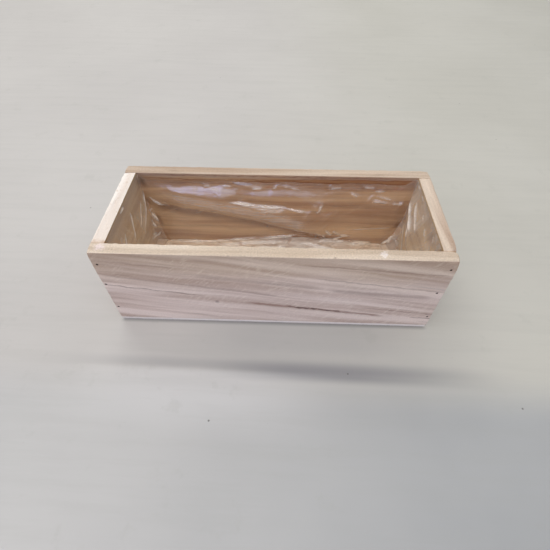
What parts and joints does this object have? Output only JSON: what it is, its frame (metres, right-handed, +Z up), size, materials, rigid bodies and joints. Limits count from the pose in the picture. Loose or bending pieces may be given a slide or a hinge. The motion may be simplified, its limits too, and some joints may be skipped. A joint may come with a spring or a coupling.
{
  "type": "soap loaf mould",
  "caption": "Open-topped nailed wooden box with a loose clear film liner, used as a mould for pouring a loaf of soap.",
  "frame": {"origin": "centre of the underside of the base panel, on the table", "axes": "+X along the box to its right end as seen from the front, +Y from front to back, +Z up out of the open top"},
  "size_m": [0.25, 0.1, 0.08],
  "materials": {
    "board_wood": "matte",
    "base_wood": "matte",
    "nail_steel": "satin",
    "liner_film": "gloss"
  },
  "bodies": {
    "box": {"front_board": "board_wood", "back_board": "board_wood", "left_end_board": "board_wood", "right_end_board": "board_wood", "base_panel": "base_wood", "front_left_nail_top": "nail_steel", "front_left_nail_middle": "nail_steel", "front_left_nail_bottom": "nail_steel", "front_right_nail_top": "nail_steel", "front_right_nail_middle": "nail_steel", "front_right_nail_bottom": "nail_steel", "back_left_nail_top": "nail_steel", "back_left_nail_middle": "nail_steel", "back_left_nail_bottom": "nail_steel", "back_right_nail_top": "nail_steel", "back_right_nail_middle": "nail_steel", "back_right_nail_bottom": "nail_steel", "base_nail_front_1": "nail_steel", "base_nail_front_2": "nail_steel", "base_nail_front_3": "nail_steel", "base_nail_front_4": "nail_steel", "base_nail_back_1": "nail_steel", "base_nail_back_2": "nail_steel", "base_nail_back_3": "nail_steel", "base_nail_back_4": "nail_steel", "base_nail_left_1": "nail_steel", "base_nail_left_2": "nail_steel", "base_nail_right_1": "nail_steel", "base_nail_right_2": "nail_steel"},
    "liner": {"film_liner": "liner_film"}
  },
  "joints": [
    {"name": "liner_lift", "type": "slide", "parent": "box", "child": "liner", "axis": [0, 0, 1], "range_m": [0, 0.09]}
  ]
}
